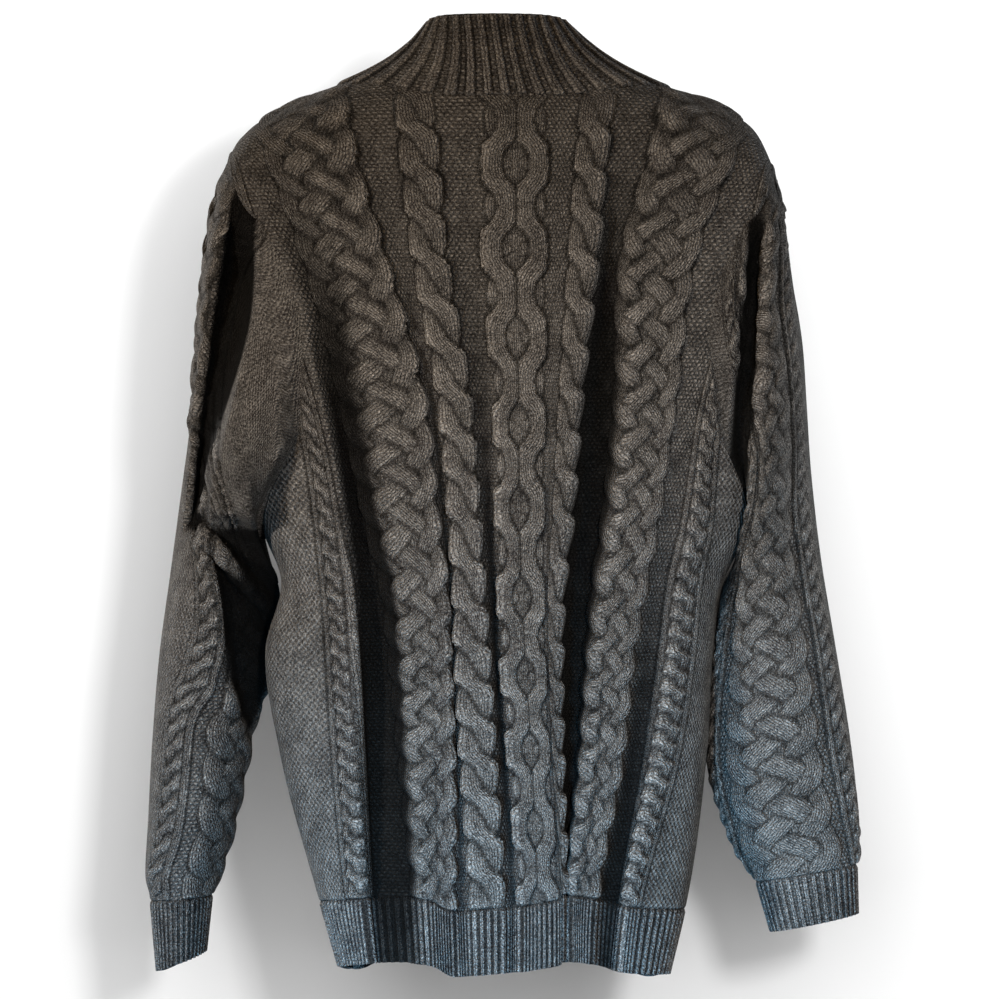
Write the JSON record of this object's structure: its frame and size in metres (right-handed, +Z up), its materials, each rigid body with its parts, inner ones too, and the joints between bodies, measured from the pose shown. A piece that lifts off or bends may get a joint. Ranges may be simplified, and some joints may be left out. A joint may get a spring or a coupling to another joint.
{
  "type": "zip-up cardigan",
  "caption": "Chunky cable-knit cardigan with a ribbed stand collar, drop shoulders, long cuffed sleeves and a zip down the front, hanging hollow.",
  "frame": {"origin": "middle of the back neck seam line's level, over the middle of the neck opening, where a wearer's neck and shoulders hold the garment", "axes": "+X to the garment's left, +Y out of its back, +Z up; the zip runs down the front, on the -Y side"},
  "size_m": [0.574, 0.2449, 0.7736],
  "materials": {
    "charcoal_wool": "marled cable-knit wool",
    "charcoal_rib": "marled ribbed wool",
    "zip_tape": "woven tape",
    "zip_metal": "dark nickel, lightly brushed"
  },
  "bodies": {
    "garment": {"back": "charcoal_wool", "front_left": "charcoal_wool", "front_right": "charcoal_wool", "sleeve_left": "charcoal_wool", "sleeve_right": "charcoal_wool", "hem_rib_back": "charcoal_rib", "hem_rib_front_left": "charcoal_rib", "hem_rib_front_right": "charcoal_rib", "cuff_left": "charcoal_rib", "cuff_right": "charcoal_rib", "collar": "charcoal_rib", "zip_tape_left": "zip_tape", "zip_tape_right": "zip_tape", "zip_teeth_left": "zip_metal", "zip_teeth_right": "zip_metal", "zip_bottom_box": "zip_metal", "zip_stop_left": "zip_metal", "zip_stop_right": "zip_metal", "zip_slider": "zip_metal"},
    "pull_tab": {"zip_pull_tab": "zip_metal"}
  },
  "joints": [
    {"name": "pull_tab_hinge", "type": "hinge", "parent": "garment", "child": "pull_tab", "pos_m": [0, -0.06048, -0.00594], "axis": [-1, 0, 0], "range_deg": [0, 130]}
  ]
}
